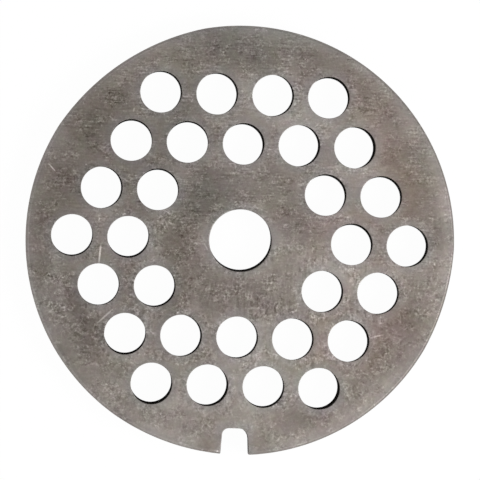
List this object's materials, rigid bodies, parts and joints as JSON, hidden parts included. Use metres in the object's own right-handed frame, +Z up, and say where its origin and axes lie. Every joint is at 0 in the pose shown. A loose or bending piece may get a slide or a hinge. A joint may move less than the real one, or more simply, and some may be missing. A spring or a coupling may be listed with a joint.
{
  "type": "meat grinder plate",
  "caption": "Flat round steel grinder plate with a centre bore, round meat holes on a triangular grid and an open locating notch in its rim.",
  "frame": {"origin": "centre of the disc on its bottom face, on the bore's axis", "axes": "+Z up through the bore, out of the face seen in use; rows of holes along X; the locating notch opens towards -Y"},
  "size_m": [0.062, 0.0619, 0.004],
  "materials": {
    "plate_steel": "ground carbon steel with a mottled grey-brown patina, small scratches and a brighter worn rim edge"
  },
  "bodies": {
    "root": {"grinder_plate": "plate_steel"}
  },
  "joints": []
}
